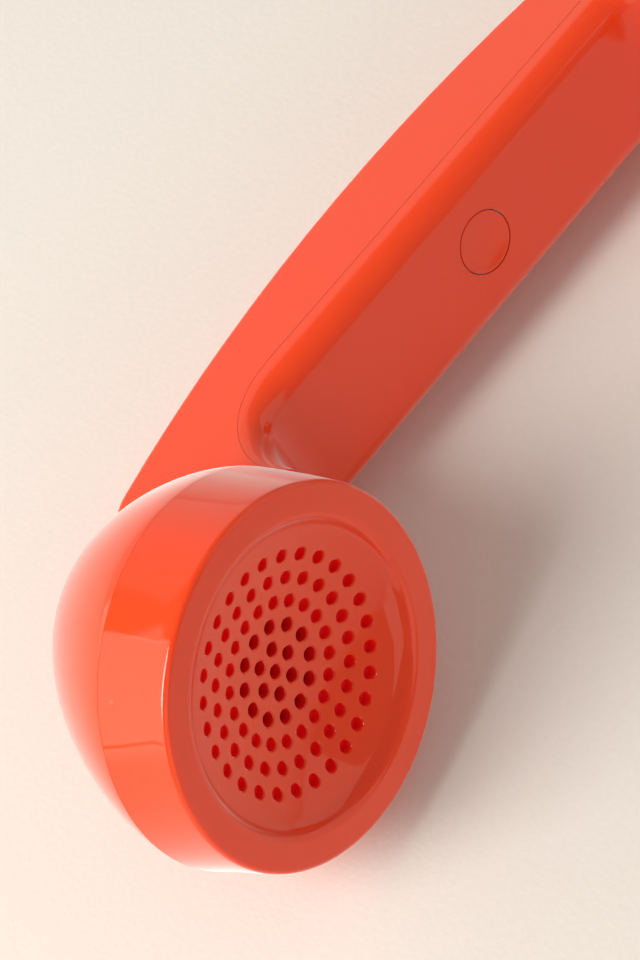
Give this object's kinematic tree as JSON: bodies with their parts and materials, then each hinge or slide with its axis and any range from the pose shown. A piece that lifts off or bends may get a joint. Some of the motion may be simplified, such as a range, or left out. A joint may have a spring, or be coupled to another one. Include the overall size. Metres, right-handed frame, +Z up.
{
  "type": "telephone handset",
  "caption": "Glossy orange-red telephone handset with round dished and drilled caps, a curved grip and a round call button, lying on its side.",
  "frame": {"origin": "on the surface it lies on, under the middle of the object's bounding box", "axes": "+X along the grip from the earpiece to the mouthpiece, +Z up, the caps face towards -Y and a little up"},
  "size_m": [0.2246, 0.068, 0.0604],
  "materials": {
    "orange_red_plastic": "polished",
    "black_plastic": "satin moulded",
    "board_laminate": "printed circuit laminate",
    "felt": "thin felt",
    "paper": "pressed paper",
    "black_rubber": "soft moulded",
    "zinc_steel": "zinc plated",
    "bare_steel": "plain",
    "pressed_steel": "pressed sheet",
    "capsule_can": "drawn can",
    "copper": "enamelled winding"
  },
  "bodies": {
    "handset": {"handle_shell": "orange_red_plastic", "grip_cover": "orange_red_plastic", "tact_switch": "black_plastic", "button_board": "board_laminate", "board_screws": "zinc_steel", "ballast_bar_ear": "bare_steel", "ballast_bar_mouth": "bare_steel", "ballast_screws": "zinc_steel", "earpiece_cap": "orange_red_plastic", "earpiece_screen": "felt", "speaker_gasket": "black_rubber", "speaker_frame": "pressed_steel", "speaker_cone": "paper", "voice_coil": "copper", "speaker_yoke": "zinc_steel", "speaker_magnet": "bare_steel", "pole_plate": "bare_steel", "speaker_retainer": "black_plastic", "speaker_screws": "zinc_steel", "mouthpiece_cap": "orange_red_plastic", "mouthpiece_screen": "felt", "microphone_capsule": "capsule_can", "microphone_boot": "black_rubber", "microphone_holder": "black_plastic", "microphone_retainer": "black_plastic", "microphone_screws": "zinc_steel", "cord_grommet": "black_rubber"},
    "button": {"call_button": "orange_red_plastic", "switch_plunger": "black_plastic"}
  },
  "joints": [
    {"name": "call_button_press", "type": "slide", "parent": "handset", "child": "button", "axis": [0, 0.9138, -0.4062], "range_m": [0, 0.0005], "stiffness_N_per_m": 800, "springref_m": -0.001}
  ]
}
